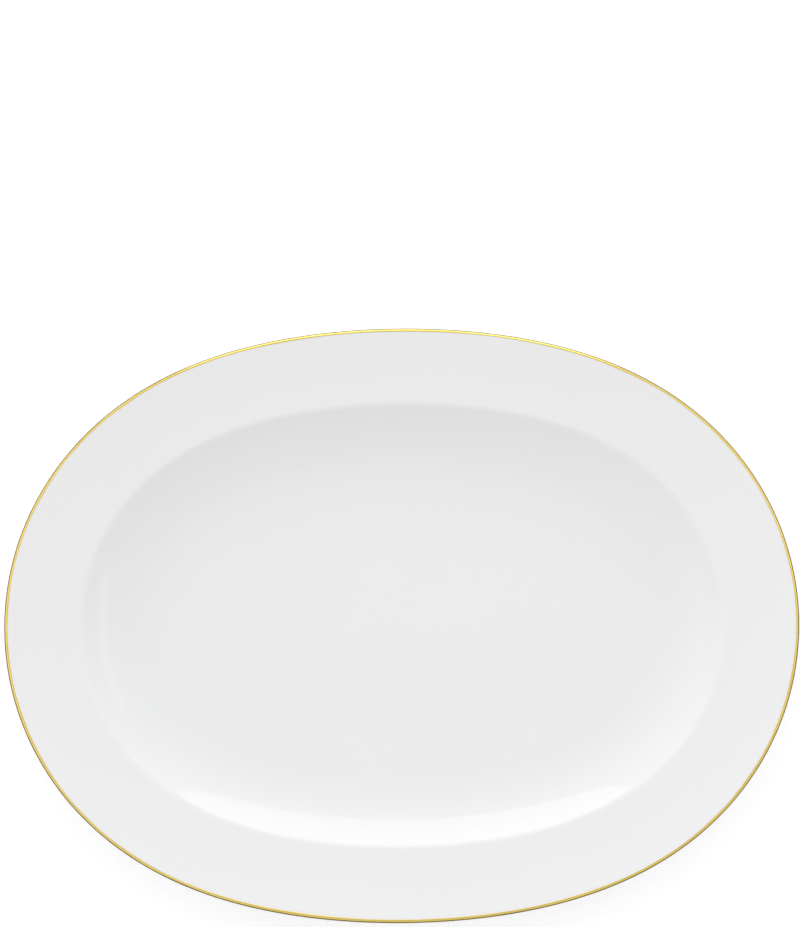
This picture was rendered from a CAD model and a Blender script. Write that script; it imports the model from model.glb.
# %% [markdown]
# # An oval serving platter in bone china
#
# The platter is one piece of fired clay under a coat of clear glaze, with a
# line of gold round its lip. A potter makes it with a profile tool: the tool's
# edge is the platter's cross-section, and the clay goes round under it. Each
# piece here is made the same way, as one section that is spun round.
#
# Every length is in metres. The design model gives the size and the place, so
# the first step is to load it.

# %% Load the design model
from math import asin, atan2, cos, degrees, hypot, radians, sin, tan, tau

import bmesh
import bpy
from mathutils import Matrix, Vector


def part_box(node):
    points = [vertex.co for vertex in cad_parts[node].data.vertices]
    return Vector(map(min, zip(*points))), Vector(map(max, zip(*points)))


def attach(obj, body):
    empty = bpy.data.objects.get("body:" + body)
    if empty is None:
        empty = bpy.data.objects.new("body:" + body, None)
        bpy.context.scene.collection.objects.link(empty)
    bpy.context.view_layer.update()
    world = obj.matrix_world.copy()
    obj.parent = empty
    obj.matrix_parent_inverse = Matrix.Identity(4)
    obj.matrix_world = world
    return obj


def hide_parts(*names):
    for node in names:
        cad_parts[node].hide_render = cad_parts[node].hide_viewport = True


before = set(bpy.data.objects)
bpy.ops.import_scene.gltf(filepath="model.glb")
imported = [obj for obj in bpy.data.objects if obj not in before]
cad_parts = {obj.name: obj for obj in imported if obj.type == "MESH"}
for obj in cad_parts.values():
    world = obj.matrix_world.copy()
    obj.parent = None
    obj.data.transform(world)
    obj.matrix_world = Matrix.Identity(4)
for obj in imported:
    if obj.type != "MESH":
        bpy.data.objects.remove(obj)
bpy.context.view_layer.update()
_, lip_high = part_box("rim_gilding")
half_length = lip_high.x
half_width = lip_high.y
print(f"platter is {2 * half_length:.4f} by {2 * half_width:.4f} by {lip_high.z:.4f} m")

# %% [markdown]
# ## The oval
#
# An oval platter keeps its rim the same width all the way round, so its lip
# isn't an ellipse: an ellipse with an even border round it is a fuller, rounder
# curve. Here a small ellipse lies in the middle, and every line of the platter
# is a border round it. That gives a simple recipe: spin a round plate, cut it
# into spokes, and slide each spoke straight out to its own point on the ellipse.
# The border's width is all that is chosen, and the ellipse's two half-axes are
# what is left of the platter's length and width.

# %% Slide of a spoke
ROUND_RADIUS = 0.132
ellipse_along = half_length - ROUND_RADIUS
ellipse_across = half_width - ROUND_RADIUS


def spoke_slide(angle):
    """The point of the middle ellipse whose outward direction is at this angle."""
    along = ellipse_along * cos(angle)
    across = ellipse_across * sin(angle)
    reach = hypot(along, across)
    return Vector((ellipse_along * along / reach, ellipse_across * across / reach, 0))


print(f"middle ellipse is {ellipse_along:.4f} by {ellipse_across:.4f} m from its centre")

# %% [markdown]
# ## The section
#
# The section is a chain of arcs and straight lines that run into each other:
# a flat floor, a slightly dished border, a long bend that is the wall, a tight
# shoulder, a rim that curls up a little, and the lip. One vertex is the pen. A
# bend spins the vertex about the arc's centre, and a straight extrudes it.
# A curve under the surface is parallel to it, so the same chain also draws the
# clay under the glaze: only the radii grow or shrink by the depth.

# %% Sizes of the section
FLOOR_HEIGHT = 0.0080
THICKNESS = 0.0043
DISH_RADIUS = 0.820
DISH_SLOPE = 3.0
BEND_RADIUS = 0.058
WALL_SLOPE = 38.0
WALL_LENGTH = 0.0010
SHOULDER_RADIUS = 0.0060
RIM_INNER_SLOPE = 6.0
RIM_RADIUS = 0.340
LIP_SLOPE = 12.0
LIP_RADIUS = 0.00145
FOOT_SLOPE = 15.0
FOOT_SPAN = 0.0095
FOOT_TAPER = 8.0
FOOT_FILLET = 0.0025
FOOT_EDGE_RADIUS = 0.0007
BARE_FOOT_HEIGHT = 0.0014
GLAZE = 0.00025
GILDING = 0.0001

# The flat middle ends where the chain of arcs, counted back from the lip, begins.
chain_run = (
    DISH_RADIUS * sin(radians(DISH_SLOPE))
    + BEND_RADIUS * (sin(radians(WALL_SLOPE)) - sin(radians(DISH_SLOPE)))
    + WALL_LENGTH * cos(radians(WALL_SLOPE))
    + SHOULDER_RADIUS * (sin(radians(WALL_SLOPE)) - sin(radians(RIM_INNER_SLOPE)))
    + RIM_RADIUS * (sin(radians(LIP_SLOPE)) - sin(radians(RIM_INNER_SLOPE)))
    + LIP_RADIUS * (1 + sin(radians(LIP_SLOPE)))
    + GILDING
)
FLAT_RADIUS = ROUND_RADIUS - chain_run
print(f"flat middle of the round plate is {1000 * FLAT_RADIUS:.1f} mm in radius")

# %% The pen


class Pen:
    """One vertex that draws a cross-section in the XZ plane, from a point and a heading."""

    def __init__(self, bm, x, z, heading):
        self.bm = bm
        self.tip = bm.verts.new((x, 0, z))
        self.heading = heading

    def straight(self, length, steps=1):
        """Draw on in the same direction."""
        angle = radians(self.heading)
        step = Vector((cos(angle), 0, sin(angle))) * length / steps
        for _ in range(steps):
            drawn = bmesh.ops.extrude_vert_indiv(self.bm, verts=[self.tip])
            self.tip = drawn["verts"][0]
            bmesh.ops.translate(self.bm, verts=[self.tip], vec=step)

    def bend(self, radius, turn, steps):
        """Draw an arc, to the left if turn is positive, seen with +X right and +Z up."""
        side = radians(self.heading + (90 if turn > 0 else -90))
        centre = self.tip.co + Vector((cos(side), 0, sin(side))) * radius
        drawn = bmesh.ops.spin(
            self.bm,
            geom=[self.tip],
            cent=centre,
            axis=(0, -1, 0),
            angle=radians(turn),
            steps=steps,
        )
        self.tip = [v for v in drawn["geom_last"] if isinstance(v, bmesh.types.BMVert)][0]
        self.heading += turn

    def down_to(self, height):
        """Draw straight on until the pen is at this height."""
        self.straight((height - self.tip.co.z) / sin(radians(self.heading)))


def draw_rim_and_lip(pen, depth):
    """The rim's curl and the lip, down to where the lip's underside straightens."""
    pen.bend(RIM_RADIUS + depth, LIP_SLOPE - RIM_INNER_SLOPE, steps=14)
    pen.bend(LIP_RADIUS - depth, rim_under_slope - LIP_SLOPE - 180, steps=20)


# The rim's underside is the line that touches both the lip and the shoulder's
# underside, so its slope and its length come from those two circles.
def step_below(slope, depth):
    """The step from a point on the face to one at this depth, square to the face."""
    return Vector((sin(radians(slope)), 0, -cos(radians(slope)))) * depth


rim_step = Vector((
    RIM_RADIUS * (sin(radians(LIP_SLOPE)) - sin(radians(RIM_INNER_SLOPE))),
    0,
    RIM_RADIUS * (cos(radians(RIM_INNER_SLOPE)) - cos(radians(LIP_SLOPE))),
))
shoulder_to_lip = (
    rim_step + step_below(LIP_SLOPE, LIP_RADIUS) - step_below(RIM_INNER_SLOPE, SHOULDER_RADIUS)
)
both_radii = SHOULDER_RADIUS - THICKNESS + LIP_RADIUS
rim_under_slope = degrees(
    atan2(shoulder_to_lip.z, shoulder_to_lip.x) - asin(both_radii / shoulder_to_lip.length)
)
rim_under_length = (shoulder_to_lip.length**2 - both_radii**2) ** 0.5


def draw_face_and_back(bm, depth, foot_end):
    """A pen that has drawn the face from its middle, the lip, and the back to the foot."""
    pen = Pen(bm, 0, FLOOR_HEIGHT - depth, 0)
    pen.straight(FLAT_RADIUS, steps=6)
    pen.bend(DISH_RADIUS + depth, DISH_SLOPE, steps=10)
    pen.bend(BEND_RADIUS + depth, WALL_SLOPE - DISH_SLOPE, steps=28)
    pen.straight(WALL_LENGTH)
    pen.bend(SHOULDER_RADIUS - depth, RIM_INNER_SLOPE - WALL_SLOPE, steps=12)
    draw_rim_and_lip(pen, depth)
    pen.straight(rim_under_length, steps=6)
    shoulder_under = SHOULDER_RADIUS - THICKNESS + depth
    pen.bend(shoulder_under, WALL_SLOPE - rim_under_slope, steps=6)
    pen.straight(WALL_LENGTH)
    pen.bend(BEND_RADIUS + THICKNESS - depth, FOOT_SLOPE - WALL_SLOPE, steps=10)
    pen.bend(FOOT_FILLET + depth, 90 - FOOT_TAPER - FOOT_SLOPE, steps=6)
    pen.down_to(foot_end)
    return pen


def draw_inside_foot(bm, depth, foot_end):
    """A pen that has drawn the underside from its middle to the inside of the foot."""
    inner_slope = FOOT_SLOPE - degrees(FOOT_SPAN / BEND_RADIUS)
    pen = Pen(bm, 0, FLOOR_HEIGHT - THICKNESS + depth, 0)
    pen.straight(FLAT_RADIUS, steps=6)
    pen.bend(DISH_RADIUS + THICKNESS - depth, DISH_SLOPE, steps=10)
    pen.bend(BEND_RADIUS + THICKNESS - depth, inner_slope - DISH_SLOPE, steps=3)
    pen.bend(FOOT_FILLET + depth, FOOT_TAPER - 90 - inner_slope, steps=6)
    pen.down_to(foot_end)
    return pen


print(f"underside of the rim slopes {rim_under_slope:.1f} degrees")

# %% [markdown]
# ## From a section to an oval piece
#
# A full spin turns the section into a round piece. Its spokes are then slid out
# one by one. Inside the flat floor the slide fades to nothing, so the spokes
# still meet in one point in the middle. Spun shapes can come out inside out and
# with doubled seams, so the doubles are merged and the normals are recalculated
# before anything gets its thickness.

# %% Spin and slide
SPOKES = 360
SHARP_ANGLE = radians(50)


def spin_round(bm):
    """Spin the drawn section round the Z axis into a round piece."""
    bmesh.ops.spin(
        bm,
        geom=bm.verts[:] + bm.edges[:],
        cent=(0, 0, 0),
        axis=(0, 0, 1),
        angle=tau,
        steps=SPOKES,
        use_merge=True,
    )
    bmesh.ops.remove_doubles(bm, verts=bm.verts, dist=1e-7)
    bmesh.ops.dissolve_degenerate(bm, edges=bm.edges, dist=1e-8)


def slide_spokes(bm):
    """Slide each spoke out to its place on the oval, and point the faces outwards."""
    for vert in bm.verts:
        radius = hypot(vert.co.x, vert.co.y)
        spoke = round(atan2(vert.co.y, vert.co.x) * SPOKES / tau)
        vert.co += spoke_slide(spoke * tau / SPOKES) * min(radius / FLAT_RADIUS, 1)
    bmesh.ops.recalc_face_normals(bm, faces=bm.faces)


def finish_piece(bm, name, node, material):
    """Make the mesh an object that rides with the platter and stands for a CAD node."""
    mesh = bpy.data.meshes.new(name)
    bm.to_mesh(mesh)
    bm.free()
    mesh.shade_smooth()
    mesh.set_sharp_from_angle(angle=SHARP_ANGLE)
    mesh.materials.append(material)
    piece = bpy.data.objects.new(name, mesh)
    bpy.context.scene.collection.objects.link(piece)
    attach(piece, "root")
    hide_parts(node)
    print(f"{name}: {len(mesh.vertices)} vertices, {len(mesh.polygons)} faces")
    return piece

# %% [markdown]
# ## Effects that the finishes share
#
# Glaze, clay, gold and print all drift a little in colour, and all but the
# print carry fine scratches. Each such effect is a node group, made once and
# set differently in each material. The groups read Object coordinates, which
# are metres here, so a size of 0.002 is 2 mm on the real platter.

# %% Node helpers


def add_node(tree, kind, settings=None, **inputs):
    """A new node. A value sets an input, and a socket is linked to it."""
    node = tree.nodes.new(kind)
    for name, value in (settings or {}).items():
        setattr(node, name, value)
    for name, value in inputs.items():
        socket = node.inputs[name.replace("_", " ")]
        if isinstance(value, bpy.types.NodeSocket):
            tree.links.new(value, socket)
        else:
            socket.default_value = value
    return node


def calculate(tree, operation, first, second=0.0):
    """One Math node's result."""
    node = tree.nodes.new("ShaderNodeMath")
    node.operation = operation
    for socket, value in zip(node.inputs, (first, second)):
        if isinstance(value, bpy.types.NodeSocket):
            tree.links.new(value, socket)
        else:
            socket.default_value = value
    return node.outputs[0]


def spread(tree, value, low, high, new_low=0.0, new_high=1.0):
    """Stretch the stretch low to high of a value onto new_low to new_high, softly."""
    node = add_node(
        tree,
        "ShaderNodeMapRange",
        {"interpolation_type": "SMOOTHSTEP"},
        Value=value,
        From_Min=low,
        From_Max=high,
        To_Min=new_low,
        To_Max=new_high,
    )
    return node.outputs["Result"]


def blend_colours(tree, factor, first, second):
    """A colour that goes from the first to the second as the factor goes from 0 to 1."""
    node = tree.nodes.new("ShaderNodeMix")
    node.data_type = "RGBA"
    for socket, value in ((node.inputs[0], factor), (node.inputs[6], first), (node.inputs[7], second)):
        if isinstance(value, bpy.types.NodeSocket):
            tree.links.new(value, socket)
        else:
            socket.default_value = value
    return node.outputs[2]


def object_position(tree):
    """The place on the platter, in metres."""
    return tree.nodes.new("ShaderNodeTexCoord").outputs["Object"]


def new_effect(name, inputs, output, output_kind):
    """An empty node group with number or colour inputs and one output."""
    group = bpy.data.node_groups.new(name, "ShaderNodeTree")
    for title, start in inputs.items():
        kind = "NodeSocketColor" if isinstance(start, tuple) else "NodeSocketFloat"
        group.interface.new_socket(title, in_out="INPUT", socket_type=kind).default_value = start
    group.interface.new_socket(output, in_out="OUTPUT", socket_type=output_kind)
    entry = group.nodes.new("NodeGroupInput").outputs
    result = group.nodes.new("NodeGroupOutput").inputs[output]
    return group, entry, result


def use_effect(tree, group, **inputs):
    """Place an effect in a material with its own values."""
    node = add_node(tree, "ShaderNodeGroup", {"node_tree": group}, **inputs)
    return node.outputs[0]


# %% [markdown]
# ### Waves in a fired surface
#
# A profile tool leaves long, shallow waves in the clay, and molten glaze
# freezes with a fine ripple. Neither is more than a few hundredths of a
# millimetre high, but a glossy surface shows them wherever a highlight's edge
# runs. Two noises, one long and one fine, give the height for a Bump node.

# %% Effect: fired waves
fired_waves, entry, result = new_effect(
    "fired_waves",
    {"Wave Size": 0.05, "Ripple Size": 0.003, "Ripple Share": 0.05},
    "Height",
    "NodeSocketFloat",
)
waves = add_node(
    fired_waves,
    "ShaderNodeTexNoise",
    Vector=object_position(fired_waves),
    Scale=calculate(fired_waves, "DIVIDE", 1.0, entry["Wave Size"]),
    Detail=1.0,
)
ripples = add_node(
    fired_waves,
    "ShaderNodeTexNoise",
    Vector=object_position(fired_waves),
    Scale=calculate(fired_waves, "DIVIDE", 1.0, entry["Ripple Size"]),
    Detail=2.0,
)
ripple_height = calculate(fired_waves, "MULTIPLY", ripples.outputs[0], entry["Ripple Share"])
height = calculate(fired_waves, "ADD", waves.outputs[0], ripple_height)
fired_waves.links.new(height, result)
print("effect", fired_waves.name, [socket.name for socket in fired_waves.interface.items_tree])

# %% [markdown]
# ### Drift in colour
#
# No fired surface is one flat colour: heat, glaze thickness and the painter's
# brush vary from patch to patch. The effect mixes a second colour in where a
# noise is high, up to the amount that the material asks for.

# %% Effect: colour drift
colour_drift, entry, result = new_effect(
    "colour_drift",
    {
        "Colour": (1.0, 1.0, 1.0, 1.0),
        "Drift Colour": (0.9, 0.9, 0.9, 1.0),
        "Patch Size": 0.05,
        "Amount": 0.5,
    },
    "Colour",
    "NodeSocketColor",
)
patches = add_node(
    colour_drift,
    "ShaderNodeTexNoise",
    Vector=object_position(colour_drift),
    Scale=calculate(colour_drift, "DIVIDE", 1.0, entry["Patch Size"]),
    Detail=3.0,
)
patch_mask = spread(colour_drift, patches.outputs[0], 0.35, 0.65)
share = calculate(colour_drift, "MULTIPLY", patch_mask, entry["Amount"])
drifted = blend_colours(colour_drift, share, entry["Colour"], entry["Drift Colour"])
colour_drift.links.new(drifted, result)
print("effect", colour_drift.name, [socket.name for socket in colour_drift.interface.items_tree])

# %% [markdown]
# ### Fine scratches
#
# Cutlery, cloths and stacking leave hairline scratches. A noise that is
# squeezed in one direction is a field of thin streaks, and keeping only its
# peaks leaves short lines. Three such fields, turned different ways, cross
# each other as real scratches do.

# %% Effect: fine scratches
SCRATCH_TURNS = (0.3, 1.4, 2.4)
fine_scratches, entry, result = new_effect(
    "fine_scratches",
    {"Length": 0.02, "Spacing": 0.0006},
    "Mask",
    "NodeSocketFloat",
)
along_scale = calculate(fine_scratches, "DIVIDE", 1.0, entry["Length"])
across_scale = calculate(fine_scratches, "DIVIDE", 1.0, entry["Spacing"])
stretch = add_node(
    fine_scratches, "ShaderNodeCombineXYZ", X=along_scale, Y=across_scale, Z=along_scale
)
scratch_mask = 0.0
for turn in SCRATCH_TURNS:
    turned = add_node(
        fine_scratches,
        "ShaderNodeVectorRotate",
        Vector=object_position(fine_scratches),
        Angle=turn,
    )
    stretched = add_node(
        fine_scratches,
        "ShaderNodeMapping",
        Vector=turned.outputs[0],
        Scale=stretch.outputs[0],
        Location=(turn, 0, 0),
    )
    streaks = add_node(
        fine_scratches, "ShaderNodeTexNoise", Vector=stretched.outputs[0], Scale=1.0, Detail=1.0
    )
    lines = spread(fine_scratches, streaks.outputs[0], 0.66, 0.74)
    scratch_mask = calculate(fine_scratches, "MAXIMUM", lines, scratch_mask)
fine_scratches.links.new(scratch_mask, result)
print("effect", fine_scratches.name, "crosses", len(SCRATCH_TURNS), "fields of streaks")

# %% [markdown]
# ## The finishes
#
# Four finishes cover the platter: the glossy glaze, the bare clay of the foot,
# the burnished gold and the printed mark. Each one is a Principled BSDF with
# its fixed numbers on its own sockets. Only what changes over the surface comes
# in through a link.

# %% Material helper


def new_finish(name, **fixed):
    """A material with its Principled BSDF, and the BSDF's fixed inputs set."""
    material = bpy.data.materials.new(name)
    material.use_nodes = True
    tree = material.node_tree
    shader = tree.nodes["Principled BSDF"]
    for title, value in fixed.items():
        shader.inputs[title.replace("_", " ")].default_value = value
    return material, tree, shader


def link_finish(tree, shader, colour, roughness, height, height_scale):
    """Connect a colour, a roughness, and a height in units of height_scale metres."""
    bump = add_node(tree, "ShaderNodeBump", Height=height, Distance=height_scale, Strength=1.0)
    tree.links.new(colour, shader.inputs["Base Color"])
    tree.links.new(roughness, shader.inputs["Roughness"])
    tree.links.new(bump.outputs[0], shader.inputs["Normal"])


# %% [markdown]
# ### Glazed china
#
# Bone china under clear glaze is a bright, nearly neutral white with a hard
# gloss. Glaze runs downhill while it is molten, so it gathers a little where
# the wall meets the floor, and looks a touch cooler there. Knives only reach
# the floor of the well, so the scratches fade out above it.

# %% Finish: glazed china
WHITE_CHINA = (0.762, 0.762, 0.764, 1.0)
WHITE_DRIFT = (0.748, 0.752, 0.758, 1.0)
POOLED_GLAZE = (0.735, 0.748, 0.757, 1.0)
POOL_FOOT = FLOOR_HEIGHT + 0.0012
POOL_MIDDLE = FLOOR_HEIGHT + 0.0025
POOL_TOP = FLOOR_HEIGHT + 0.0060
POOL_SHARE = 0.4
SCRATCH_TOP = FLOOR_HEIGHT + 0.0030
SCRATCH_DULLING = 0.10
CHINA_ROUGHNESS = 0.055
CHINA_WAVE_HEIGHT = 0.00006

glazed_china, tree, shader = new_finish("glazed_china", IOR=1.52)
place = add_node(tree, "ShaderNodeSeparateXYZ", Vector=object_position(tree)).outputs["Z"]
white = use_effect(
    tree,
    colour_drift,
    Colour=WHITE_CHINA,
    Drift_Colour=WHITE_DRIFT,
    Patch_Size=0.07,
    Amount=0.35,
)
pool_rise = spread(tree, place, POOL_FOOT, POOL_MIDDLE)
pool_fall = spread(tree, place, POOL_MIDDLE, POOL_TOP, POOL_SHARE, 0.0)
pool = calculate(tree, "MULTIPLY", pool_rise, pool_fall)
china_colour = blend_colours(tree, pool, white, POOLED_GLAZE)
scratches = use_effect(tree, fine_scratches, Length=0.014, Spacing=0.0005)
scratch_reach = spread(tree, place, FLOOR_HEIGHT, SCRATCH_TOP, SCRATCH_DULLING, 0.0)
china_roughness = calculate(
    tree, "ADD", calculate(tree, "MULTIPLY", scratches, scratch_reach), CHINA_ROUGHNESS
)
china_height = use_effect(
    tree, fired_waves, Wave_Size=0.045, Ripple_Size=0.0025, Ripple_Share=0.012
)
link_finish(tree, shader, china_colour, china_roughness, china_height, CHINA_WAVE_HEIGHT)
print("finish", glazed_china.name, "with", len(tree.nodes), "nodes")

# %% [markdown]
# ### Bare china
#
# The foot's edge has no glaze. The fired clay there is matte, a little warmer,
# and finely grained. Sliding on shelves and on other plates leaves grey marks
# on the edge that the platter stands on.

# %% Finish: bare china
BARE_CHINA = (0.72, 0.70, 0.655, 1.0)
BARE_DRIFT = (0.66, 0.635, 0.58, 1.0)
SHELF_GREY = (0.33, 0.32, 0.31, 1.0)
SCUFF_TOP = 0.0005
SCUFF_SHARE = 0.8
GRAIN_HEIGHT = 0.00008

bare_china, tree, shader = new_finish("bare_china", IOR=1.45)
shader.inputs["Specular IOR Level"].default_value = 0.3
place = add_node(tree, "ShaderNodeSeparateXYZ", Vector=object_position(tree)).outputs["Z"]
clay_colour = use_effect(
    tree,
    colour_drift,
    Colour=BARE_CHINA,
    Drift_Colour=BARE_DRIFT,
    Patch_Size=0.012,
    Amount=0.8,
)
scuffs = use_effect(tree, fine_scratches, Length=0.006, Spacing=0.0008)
scuff_reach = spread(tree, place, 0.0, SCUFF_TOP, SCUFF_SHARE, 0.0)
scuffed_colour = blend_colours(
    tree, calculate(tree, "MULTIPLY", scuffs, scuff_reach), clay_colour, SHELF_GREY
)
grain = use_effect(tree, fired_waves, Wave_Size=0.0012, Ripple_Size=0.00025, Ripple_Share=0.4)
clay_roughness = spread(tree, grain, 0.3, 1.1, 0.62, 0.86)
link_finish(tree, shader, scuffed_colour, clay_roughness, grain, GRAIN_HEIGHT)
print("finish", bare_china.name, "with", len(tree.nodes), "nodes")

# %% [markdown]
# ### Burnished gold
#
# The gold is painted on with a soft brush while the platter turns, fired, and
# rubbed bright. The brush leaves streaks that run along the lip, so this
# finish reads a coordinate that is painted on the gold itself: once round the
# lip it makes a closed loop, and across the line it is the angle about the
# lip's middle. Squeezed along and stretched across, a noise becomes brush
# streaks with no seam. Where the paint is thin it looks deeper and duller.

# %% Finish: burnished gold
GOLD = (0.80, 0.62, 0.17, 1.0)
THIN_GOLD = (0.66, 0.47, 0.11, 1.0)
BRUSH_RUN = "brush_run"
STREAKS_ALONG = 9.0
STREAKS_ACROSS = 14.0
STREAK_SHARE = 0.5
RUBBED_DULLING = 0.12
GOLD_WAVE_HEIGHT = 0.00003

burnished_gold, tree, shader = new_finish("rubbed_gold", Metallic=1.0)
brush_run = add_node(tree, "ShaderNodeAttribute", {"attribute_name": BRUSH_RUN}).outputs["Vector"]
brush_scale = add_node(
    tree,
    "ShaderNodeMapping",
    Vector=brush_run,
    Scale=(STREAKS_ALONG, STREAKS_ALONG, STREAKS_ACROSS),
)
brush = add_node(
    tree, "ShaderNodeTexNoise", Vector=brush_scale.outputs[0], Scale=1.0, Detail=3.0
).outputs[0]
full_gold = use_effect(
    tree, colour_drift, Colour=GOLD, Drift_Colour=THIN_GOLD, Patch_Size=0.02, Amount=0.2
)
thin_mask = spread(tree, brush, 0.52, 0.72, 0.0, 0.5)
gold_colour = blend_colours(tree, thin_mask, full_gold, THIN_GOLD)
rubbed = use_effect(tree, fine_scratches, Length=0.004, Spacing=0.0003)
brushed_roughness = spread(tree, brush, 0.35, 0.70, 0.13, 0.26)
gold_roughness = calculate(
    tree, "ADD", brushed_roughness, calculate(tree, "MULTIPLY", rubbed, RUBBED_DULLING)
)
gold_waves = use_effect(
    tree, fired_waves, Wave_Size=0.006, Ripple_Size=0.0008, Ripple_Share=0.15
)
streak_height = calculate(tree, "MULTIPLY", brush, STREAK_SHARE)
gold_height = calculate(tree, "ADD", gold_waves, streak_height)
link_finish(tree, shader, gold_colour, gold_roughness, gold_height, GOLD_WAVE_HEIGHT)
print("finish", burnished_gold.name, "with", len(tree.nodes), "nodes")

# %% [markdown]
# ### Printed mark
#
# A maker's mark is a printed transfer that melts into the glaze. The ink lies
# a little unevenly, so its colour is mottled, and it is satin where the glaze
# beside it is glossy.

# %% Finish: printed mark
MARK_INK = (0.27, 0.185, 0.055, 1.0)
MARK_PALE_INK = (0.40, 0.30, 0.13, 1.0)
INK_HEIGHT = 0.00002

printed_mark, tree, shader = new_finish("mark_print", IOR=1.5)
ink_colour = use_effect(
    tree,
    colour_drift,
    Colour=MARK_INK,
    Drift_Colour=MARK_PALE_INK,
    Patch_Size=0.0006,
    Amount=0.8,
)
ink_height = use_effect(
    tree, fired_waves, Wave_Size=0.003, Ripple_Size=0.0003, Ripple_Share=0.3
)
ink_roughness = spread(tree, ink_height, 0.3, 0.9, 0.28, 0.42)
link_finish(tree, shader, ink_colour, ink_roughness, ink_height, INK_HEIGHT)
print("finish", printed_mark.name, "with", len(tree.nodes), "nodes")

# %% [markdown]
# ## The pieces
#
# ### Clay body
#
# The clay is drawn as one closed section, a glaze thickness under the finished
# surface: one pen draws the face, the lip and the back down to the foot, and
# another draws the underside out to the foot's inner side. The two ends are
# joined across the standing face and rounded with a bevel. Only the foot's
# edge shows in the end, but a whole body keeps the platter a real solid.

# %% Clay body
bm = bmesh.new()
outside = draw_face_and_back(bm, GLAZE, foot_end=0)
inside = draw_inside_foot(bm, GLAZE, foot_end=0)
foot_corners = [outside.tip, inside.tip]
bmesh.ops.contextual_create(bm, geom=foot_corners)
bmesh.ops.bevel(
    bm,
    geom=foot_corners,
    offset=FOOT_EDGE_RADIUS * tan(radians(90 - FOOT_TAPER) / 2),
    affect="VERTICES",
    segments=4,
    profile=0.5,
    material=-1,
)
spin_round(bm)
slide_spokes(bm)
print(f"clay volume is {bm.calc_volume() * 1e6:.1f} cubic cm")
finish_piece(bm, "clay_body", "china_body", bare_china)

# %% [markdown]
# ### Glaze
#
# The glaze is a skin of even thickness, so it is made as the outer surface and
# then thickened inwards with a Solidify modifier. It stops just above the
# foot's edge on both sides, where it is wiped off before the firing, which
# makes it two separate coats.
#
# Known fault: the coat inside the foot is an open cup, so its recalculated
# normals point up at the clay. Its thickness then grows down, away from the
# clay, where it should grow up to meet it. Reversing that coat's faces before
# it is thickened would mend it.

# %% Glaze coats


def thicken_inwards(piece, thickness):
    """Give a skin its thickness on the side away from its normals."""
    solidify = piece.modifiers.new("thickness", "SOLIDIFY")
    solidify.thickness = thickness
    solidify.offset = -1
    solidify.use_even_offset = True


bm = bmesh.new()
draw_face_and_back(bm, 0, BARE_FOOT_HEIGHT)
spin_round(bm)
slide_spokes(bm)
glaze_over_face = finish_piece(
    bm, "glaze_over_face", "face_glaze", glazed_china
)
thicken_inwards(glaze_over_face, GLAZE)

bm = bmesh.new()
draw_inside_foot(bm, 0, BARE_FOOT_HEIGHT)
spin_round(bm)
slide_spokes(bm)
glaze_inside_foot = finish_piece(
    bm, "glaze_inside_foot", "underside_glaze", glazed_china
)
thicken_inwards(glaze_inside_foot, GLAZE)

# %% [markdown]
# ### Gold line
#
# The gold wraps the lip's round edge: it starts a little way in on the face
# and ends where the rim's underside begins. Its section is one arc about the
# lip's middle. The painter's hand isn't quite steady, so the inner edge
# wavers by a few hundredths of a millimetre, as a sum of three slow waves that
# each close after one turn.

# %% Gold line
GILT_WIDTH = 0.0017
WAVER = 0.00005
WAVER_TURNS = ((5, 0.4), (13, 2.0), (29, 4.1))

gold_radius = LIP_RADIUS + GILDING
lip_middle_radius = ROUND_RADIUS - gold_radius
lip_middle_height = lip_high.z - gold_radius
gold_start = 90 + degrees(asin((GILT_WIDTH - gold_radius) / gold_radius))

bm = bmesh.new()
pen = Pen(
    bm,
    lip_middle_radius + gold_radius * cos(radians(gold_start)),
    lip_middle_height + gold_radius * sin(radians(gold_start)),
    gold_start - 90,
)
pen.bend(gold_radius, rim_under_slope - gold_start - 90, steps=24)
spin_round(bm)
brush_layer = bm.verts.layers.float_vector.new(BRUSH_RUN)
for vert in bm.verts:
    radius = hypot(vert.co.x, vert.co.y)
    turn = atan2(vert.co.y, vert.co.x)
    across = atan2(vert.co.z - lip_middle_height, radius - lip_middle_radius)
    vert[brush_layer] = (cos(turn), sin(turn), across)
    if vert.is_boundary and across > 0:
        waver = WAVER * sum(sin(times * turn + lag) for times, lag in WAVER_TURNS)
        vert.co += Vector((cos(turn), sin(turn), 0)) * waver
slide_spokes(bm)
gold_line = finish_piece(bm, "gold_line", "rim_gilding", burnished_gold)
thicken_inwards(gold_line, GILDING)
print(f"gold starts {1000 * GILT_WIDTH:.1f} mm in from the lip's edge")

# %% [markdown]
# ### Maker's rosette
#
# Where a maker prints a name, this platter has a plain rosette that stands for
# nobody: an oval ring, eight petals and a bead. The ring is a disc with its
# middle inset and removed. Petals and bead are filled circles, stretched and
# turned. The thickness comes from the same modifier as the glaze's. Because of
# the fault in the coat inside the foot, that coat covers the rosette here.

# %% Maker's rosette
MARK_HEIGHT = FLOOR_HEIGHT - THICKNESS
MARK_THICKNESS = 0.0001
MARK_LENGTH = 0.034
MARK_WIDTH = 0.026
MARK_RING_WIDTH = 0.0007
MARK_PETALS = 8
PETAL_DISTANCE = 0.0075
PETAL_LENGTH = 0.0070
PETAL_WIDTH = 0.0026
MARK_BEAD_RADIUS = 0.0015


def add_disc(bm, length, width, segments, middle=(0, 0, 0), turn=0.0):
    """A filled oval, turned about its own middle and then put in its place."""
    disc = bmesh.ops.create_circle(bm, cap_ends=True, radius=0.5, segments=segments)["verts"]
    bmesh.ops.scale(bm, verts=disc, vec=(length, width, 1))
    bmesh.ops.rotate(bm, verts=disc, cent=(0, 0, 0), matrix=Matrix.Rotation(turn, 3, "Z"))
    bmesh.ops.translate(bm, verts=disc, vec=middle)
    return disc


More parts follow.
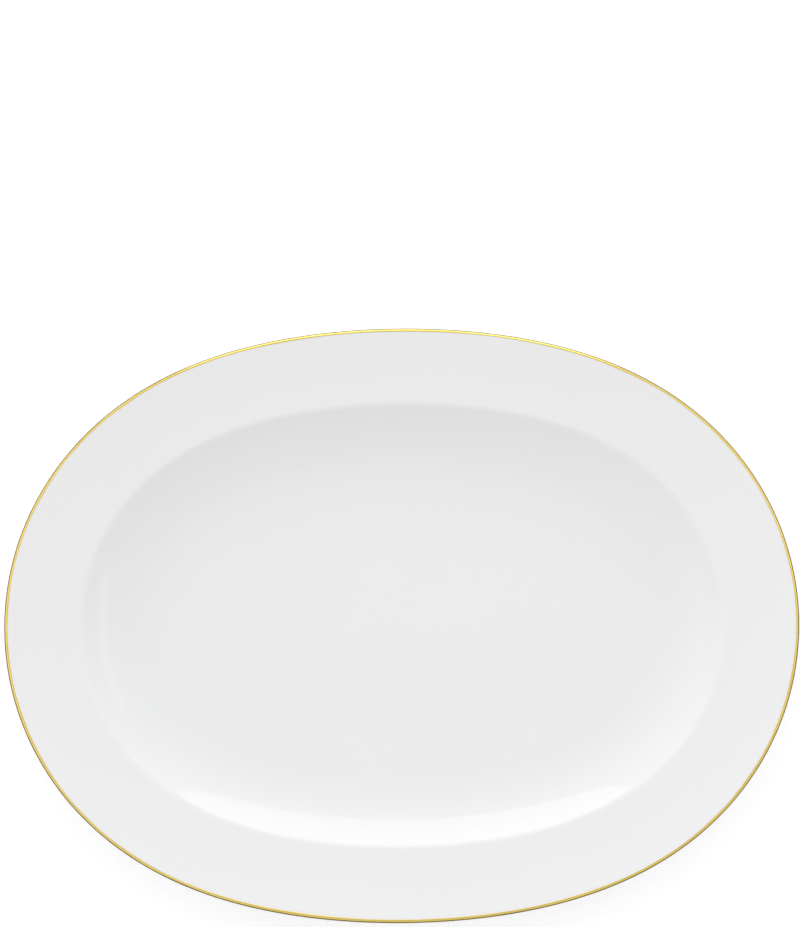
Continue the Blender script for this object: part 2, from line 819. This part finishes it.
bm = bmesh.new()
add_disc(bm, MARK_LENGTH, MARK_WIDTH, segments=128)
bmesh.ops.inset_region(bm, faces=bm.faces[:], thickness=MARK_RING_WIDTH, use_boundary=True)
inset_disc = max(bm.faces, key=lambda face: len(face.verts))
bmesh.ops.delete(bm, geom=[inset_disc], context="FACES_ONLY")
for petal in range(MARK_PETALS):
    angle = petal * tau / MARK_PETALS
    middle = Vector((cos(angle), sin(angle), 0)) * PETAL_DISTANCE
    add_disc(bm, PETAL_LENGTH, PETAL_WIDTH, segments=40, middle=middle, turn=angle)
add_disc(bm, 2 * MARK_BEAD_RADIUS, 2 * MARK_BEAD_RADIUS, segments=32)
bmesh.ops.translate(bm, verts=bm.verts, vec=(0, 0, MARK_HEIGHT - MARK_THICKNESS))
bmesh.ops.recalc_face_normals(bm, faces=bm.faces)
facing_up = [face for face in bm.faces if face.normal.z > 0]
bmesh.ops.reverse_faces(bm, faces=facing_up)
maker_rosette = finish_piece(bm, "maker_rosette", "backstamp", printed_mark)
thicken_inwards(maker_rosette, MARK_THICKNESS)

# %% [markdown]
# ## The studio
#
# White china on white paper is hard to light: it has to stay a shade greyer
# than the paper, and only its reflections tell where its wall and rim are.
# The room is a soft dome that is brighter on some sides than on others, with
# one round soft panel low behind the platter. Its reflection is the bright
# crescent in the near side of the wall. Two weak strips, one on each side, put
# faint lines in the ends of the wall.
#
# ### Floor
#
# The floor is matte paper, lit up to plain white. A gold edge only reads as
# metal when it has something dark to reflect, so a studio hides black card
# under the edge of such a piece. Here the paper itself is dark grey to
# reflections. It also has two small glows of its own: the camera sees one, which
# takes the paper up to white, and the other lights the platter's underside.

# %% Floor
FLOOR_SIZE = 6.0
PAPER = (0.86, 0.86, 0.86, 1.0)
BLACK_CARD = (0.20, 0.20, 0.20, 1.0)
SEEN_GLOW = 0.23
BOUNCED_GLOW = 0.33

paper, tree, shader = new_finish("studio_paper", Roughness=0.95)
shader.inputs["Specular IOR Level"].default_value = 0.0
rays = tree.nodes.new("ShaderNodeLightPath").outputs
paper_colour = blend_colours(tree, rays["Is Glossy Ray"], PAPER, BLACK_CARD)
tree.links.new(paper_colour, shader.inputs["Base Color"])
shader.inputs["Emission Color"].default_value = (1.0, 1.0, 1.0, 1.0)
seen = calculate(tree, "MULTIPLY", rays["Is Camera Ray"], SEEN_GLOW)
bounced = calculate(tree, "MULTIPLY", rays["Is Diffuse Ray"], BOUNCED_GLOW)
glow = calculate(tree, "ADD", seen, bounced)
tree.links.new(glow, shader.inputs["Emission Strength"])

bm = bmesh.new()
bmesh.ops.create_grid(bm, x_segments=1, y_segments=1, size=FLOOR_SIZE)
floor_mesh = bpy.data.meshes.new("studio_floor")
bm.to_mesh(floor_mesh)
bm.free()
floor_mesh.materials.append(paper)
studio_floor = bpy.data.objects.new("studio_floor", floor_mesh)
bpy.context.scene.collection.objects.link(studio_floor)

# %% [markdown]
# ### Room and panels
#
# Each side of the room gets its own brightness: a direction's share of a side
# is how squarely it points there. Reflections, and only they, find the room
# dark near the horizon, as if black flags stood round the platter, and that
# gives the gold its dark outer edge. The camera itself sees plain white.

# %% Room
ROOM_GLOW = 0.69
SIDE_GLOW = {(1, 0, 0): 0.32, (-1, 0, 0): 0.50, (0, 1, 0): 0.58, (0, -1, 0): 0.22}
FLAG_FOOT = 0.05
FLAG_TOP = 0.28

room = bpy.data.worlds.new("studio_room")
bpy.context.scene.world = room
room.use_nodes = True
tree = room.node_tree
tree.nodes.clear()
direction = tree.nodes.new("ShaderNodeTexCoord").outputs["Generated"]
glow = ROOM_GLOW
for side, strength in SIDE_GLOW.items():
    facing = add_node(tree, "ShaderNodeVectorMath", {"operation": "DOT_PRODUCT"})
    tree.links.new(direction, facing.inputs[0])
    facing.inputs[1].default_value = side
    share = calculate(tree, "MAXIMUM", facing.outputs["Value"], 0.0)
    glow = calculate(tree, "ADD", calculate(tree, "MULTIPLY", share, strength), glow)

rays = tree.nodes.new("ShaderNodeLightPath").outputs
height = add_node(tree, "ShaderNodeSeparateXYZ", Vector=direction).outputs["Z"]
above_flags = spread(tree, height, FLAG_FOOT, FLAG_TOP)
behind_flags = calculate(tree, "SUBTRACT", 1.0, above_flags)
hidden = calculate(tree, "MULTIPLY", behind_flags, rays["Is Glossy Ray"])
glow = calculate(tree, "MULTIPLY", glow, calculate(tree, "SUBTRACT", 1.0, hidden))

lit = add_node(tree, "ShaderNodeBackground", Color=(1, 1, 1, 1), Strength=glow)
plain = add_node(tree, "ShaderNodeBackground", Color=(1, 1, 1, 1), Strength=1.0)
either = tree.nodes.new("ShaderNodeMixShader")
tree.links.new(rays["Is Camera Ray"], either.inputs[0])
tree.links.new(lit.outputs[0], either.inputs[1])
tree.links.new(plain.outputs[0], either.inputs[2])
output = tree.nodes.new("ShaderNodeOutputWorld")
tree.links.new(either.outputs[0], output.inputs["Surface"])

# %% Soft panels


def add_panel(name, shape, middle, aim, width, height, power):
    """A soft light, out of sight, that faces a point."""
    light = bpy.data.lights.new(name, "AREA")
    light.shape = shape
    light.size = width
    light.size_y = height
    light.energy = power
    panel = bpy.data.objects.new(name, light)
    panel.location = middle
    panel.rotation_euler = (Vector(aim) - Vector(middle)).to_track_quat("-Z", "Y").to_euler()
    panel.visible_camera = False
    bpy.context.scene.collection.objects.link(panel)


ROUND_DISTANCE = 0.95
ROUND_MIDDLE = 0.20
ROUND_WIDTH = 0.90
ROUND_HEIGHT = 1.34
ROUND_POWER = 3.6
STRIP_DISTANCE = 1.2
STRIP_WIDTH = 0.9
STRIP_HEIGHT = 0.2
STRIP_LEAN = radians(48)
STRIPS = {"right_strip": (radians(12), 0.27), "left_strip": (radians(168), 0.14)}

add_panel(
    "round_panel",
    "ELLIPSE",
    middle=(0, ROUND_DISTANCE, ROUND_MIDDLE),
    aim=(0, 0, ROUND_MIDDLE),
    width=ROUND_WIDTH,
    height=ROUND_HEIGHT,
    power=ROUND_POWER,
)
level = sin(STRIP_LEAN)
for name, (turn, power) in STRIPS.items():
    towards = Vector((level * cos(turn), level * sin(turn), cos(STRIP_LEAN)))
    add_panel(
        name,
        "RECTANGLE",
        middle=towards * STRIP_DISTANCE,
        aim=(0, 0, FLOOR_HEIGHT),
        width=STRIP_WIDTH,
        height=STRIP_HEIGHT,
        power=power,
    )

# %% [markdown]
# ### Camera
#
# The camera looks almost straight down on the platter, from a long way off so
# that the oval isn't distorted, and the platter sits low in the picture.

# %% Camera
VIEW_HEIGHT = 0.4755
VIEW_DISTANCE = 2.0
VIEW_LEAN = 5.2
VIEW_ROLL = 0.62
AIM_ABOVE = 0.0823
SENSOR = 36.0
MIDDLE_SHARE = 0.75

camera_data = bpy.data.cameras.new("camera")
camera_data.sensor_fit = "VERTICAL"
camera_data.sensor_height = SENSOR
camera_data.lens = SENSOR * VIEW_DISTANCE / VIEW_HEIGHT
camera = bpy.data.objects.new("camera", camera_data)
bpy.context.scene.collection.objects.link(camera)

lean = radians(VIEW_LEAN)
platter_middle = Vector((0, 0, lip_high.z * MIDDLE_SHARE))
view_back = Vector((0, -sin(lean), cos(lean)))
view_up = Vector((0, cos(lean), sin(lean)))
camera.location = platter_middle + view_back * VIEW_DISTANCE
aim = platter_middle + view_up * AIM_ABOVE
turned = (camera.location - aim).to_track_quat("Z", "Y").to_matrix()
roll = Matrix.Rotation(radians(-VIEW_ROLL), 3, "Z")
camera.rotation_euler = (turned @ roll).to_euler()
bpy.context.scene.camera = camera
bpy.context.scene.view_settings.view_transform = "Standard"
print(f"lens {camera_data.lens:.1f} mm, camera at {[round(c, 3) for c in camera.location]}")
